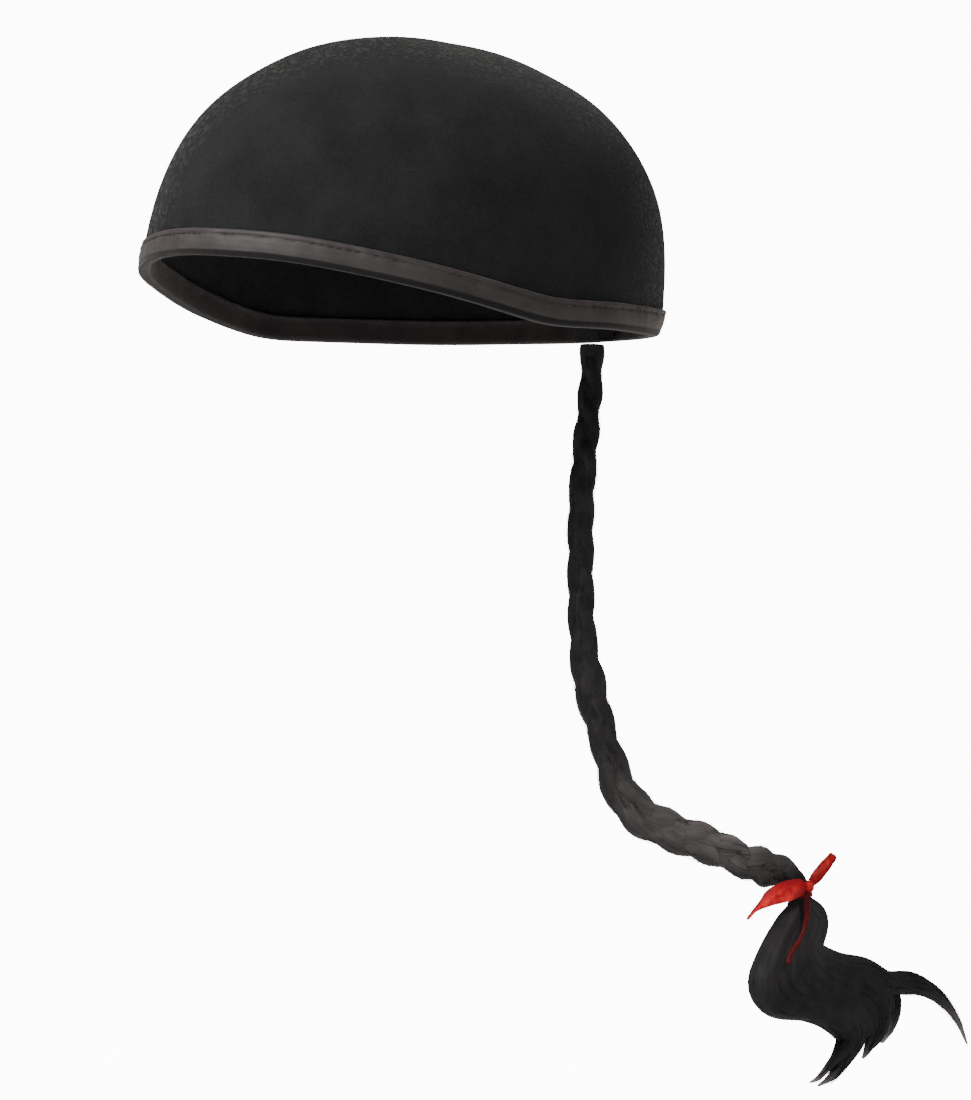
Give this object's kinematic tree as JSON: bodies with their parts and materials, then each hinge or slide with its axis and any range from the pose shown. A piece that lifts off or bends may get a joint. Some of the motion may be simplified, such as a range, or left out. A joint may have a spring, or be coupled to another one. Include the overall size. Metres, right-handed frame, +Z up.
{
  "type": "mandarin hat with a plaited queue",
  "caption": "Round black cloth skullcap with a satin rim band, a long plait of black hair hanging from the back of the rim, and a ribbon tied above its loose end.",
  "frame": {"origin": "middle of the head opening, level with the rim at the sides and back, where the hat sits on a head", "axes": "+Z up through the top of the crown, -Y towards the front of the hat, +X towards the wearer's left"},
  "size_m": [0.1608, 0.3768, 0.3799],
  "materials": {
    "crown_cloth": "matt black brushed stretch cloth",
    "band_satin": "black satin binding with a grey-brown sheen",
    "hair": "black synthetic hair with a soft sheen",
    "ribbon_satin": "bright red satin ribbon"
  },
  "bodies": {
    "root": {"crown": "crown_cloth", "rim_band": "band_satin", "braid_tab": "crown_cloth", "strand_1": "hair", "strand_2": "hair", "strand_3": "hair", "tail": "hair", "ribbon_wrap": "ribbon_satin", "ribbon_knot": "ribbon_satin", "ribbon_end_long": "ribbon_satin", "ribbon_end_short": "ribbon_satin", "ribbon_string": "ribbon_satin"}
  },
  "joints": []
}
